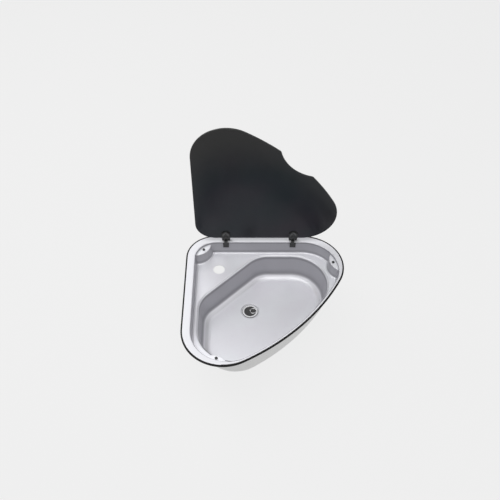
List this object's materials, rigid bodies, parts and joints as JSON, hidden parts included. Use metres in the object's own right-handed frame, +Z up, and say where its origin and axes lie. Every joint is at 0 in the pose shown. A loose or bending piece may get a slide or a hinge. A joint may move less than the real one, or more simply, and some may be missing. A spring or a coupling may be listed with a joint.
{
  "type": "corner sink with glass lid",
  "caption": "Rounded triangular built-in steel sink with a tap ledge, a flush smoked glass lid on two hinges, and a plug waste with a side outlet.",
  "frame": {"origin": "on the lower face of the rim's seal, which is the worktop's plane, where the seal crosses the sink's diagonal at its square back left corner", "axes": "+X right along the straight back edge, +Y back, +Z up out of the worktop"},
  "size_m": [0.5303, 0.5303, 0.7213],
  "materials": {
    "steel": "satin brushed stainless steel, bright at the bends",
    "seal_rubber": "matt black moulded rubber",
    "buffer_rubber": "matt black rubber",
    "smoked_glass": "dark smoked safety glass, polished edge",
    "waste_steel": "bright polished stainless steel",
    "gasket_rubber": "matt black rubber",
    "waste_plastic": "white moulded polypropylene",
    "plug_rubber": "black rubber",
    "bright_wire": "bright steel wire",
    "hinge_plastic": "black moulded plastic, fine grain",
    "clamp_plastic": "dark grey moulded plastic",
    "screw_steel": "stainless steel",
    "nylon": "natural nylon",
    "pad_rubber": "black rubber pad"
  },
  "bodies": {
    "root": {"sink_bowl": "steel", "rim_seal": "seal_rubber", "lid_buffers": "buffer_rubber", "waste_flange": "waste_steel", "flange_gasket": "gasket_rubber", "tail_gasket": "gasket_rubber", "back_nut": "waste_plastic", "union_washer": "gasket_rubber", "union_nut": "waste_plastic", "waste_elbow": "waste_plastic", "left_hinge_base": "hinge_plastic", "left_base_screws": "screw_steel", "left_nut_plate": "screw_steel", "left_hinge_pin": "screw_steel", "left_friction_washers": "nylon", "right_hinge_base": "hinge_plastic", "right_base_screws": "screw_steel", "right_nut_plate": "screw_steel", "right_hinge_pin": "screw_steel", "right_friction_washers": "nylon"},
    "lid": {"glass_lid": "smoked_glass", "left_hinge_leaf": "hinge_plastic", "left_upper_pad": "pad_rubber", "left_lower_pad": "pad_rubber", "left_clamp_plate": "clamp_plastic", "left_glass_bush": "nylon", "left_clamp_screw": "screw_steel", "right_hinge_leaf": "hinge_plastic", "right_upper_pad": "pad_rubber", "right_lower_pad": "pad_rubber", "right_clamp_plate": "clamp_plastic", "right_glass_bush": "nylon", "right_clamp_screw": "screw_steel"},
    "plug": {"plug": "plug_rubber", "plug_eye": "bright_wire"},
    "pull_ring": {"plug_ring": "bright_wire"}
  },
  "joints": [
    {"name": "lid_hinge", "type": "hinge", "parent": "root", "child": "lid", "pos_m": [0.21756, 0.01144, 0.0122], "axis": [1, 0, 0], "range_deg": [0, 90]},
    {"name": "plug_lift", "type": "slide", "parent": "root", "child": "plug", "axis": [0, 0, 1], "range_m": [0, 0.06]},
    {"name": "ring_flip", "type": "hinge", "parent": "plug", "child": "pull_ring", "pos_m": [0.18556, -0.18556, -0.1388], "axis": [0, -1, 0], "range_deg": [0, 180]}
  ]
}
